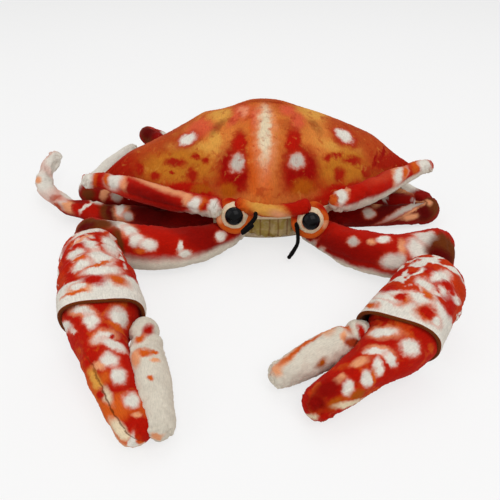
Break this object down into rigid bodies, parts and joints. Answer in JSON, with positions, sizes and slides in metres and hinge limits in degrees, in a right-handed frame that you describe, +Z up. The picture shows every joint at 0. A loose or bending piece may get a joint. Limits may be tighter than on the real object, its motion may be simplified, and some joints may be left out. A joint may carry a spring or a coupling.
{
  "type": "plush crab",
  "caption": "Soft stuffed crab with a domed printed carapace, rolled front rims, glossy domed eyes on padded stalks, cuffed claws, curved walking legs and a flat belly to rest on.",
  "frame": {"origin": "the middle of the flat patch under the belly, at the height of the floor", "axes": "+Z up, the crab faces -Y with its body turned 3 degrees towards its left claw, and +X is to the right of someone who looks at its face"},
  "size_m": [0.3301, 0.3657, 0.089],
  "materials": {
    "printed_plush": "short pile plush with a red, orange and cream print",
    "belly_plush": "plain cream short pile plush",
    "fibre": "loose polyester fibre",
    "face_plush": "short pile plush, cream yellow with brown lines",
    "orbit_plush": "short pile plush, orange brown",
    "eyeball_plush": "short pile plush, cream with orange",
    "finger_plush": "short pile plush, cream with red at the knuckle",
    "black_plastic": "glossy moulded safety eye",
    "white_plastic": "moulded locking washer",
    "black_cord": "stiff black cord"
  },
  "bodies": {
    "root": {"carapace_cover": "printed_plush", "underside_cover": "belly_plush", "body_filling": "fibre", "face_panel": "face_plush", "front_bridge": "printed_plush", "rim_left": "printed_plush", "rim_right": "printed_plush", "orbit_ring_left": "orbit_plush", "orbit_ring_right": "orbit_plush", "eyeball_left": "eyeball_plush", "eyeball_right": "eyeball_plush", "eye_left": "black_plastic", "eye_right": "black_plastic", "eye_washer_left": "white_plastic", "eye_washer_right": "white_plastic", "antenna_left": "black_cord", "antenna_right": "black_cord", "upper_arm_left": "printed_plush", "upper_arm_right": "printed_plush", "forearm_sleeve_left": "printed_plush", "forearm_sleeve_right": "printed_plush", "hand_left": "printed_plush", "hand_right": "printed_plush", "movable_finger_left": "finger_plush", "movable_finger_right": "finger_plush", "leg_left_1": "printed_plush", "leg_left_2": "printed_plush", "leg_left_3": "printed_plush", "leg_left_4": "printed_plush", "leg_right_1": "printed_plush", "leg_right_2": "printed_plush", "leg_right_3": "printed_plush", "leg_right_4": "printed_plush"}
  },
  "joints": []
}
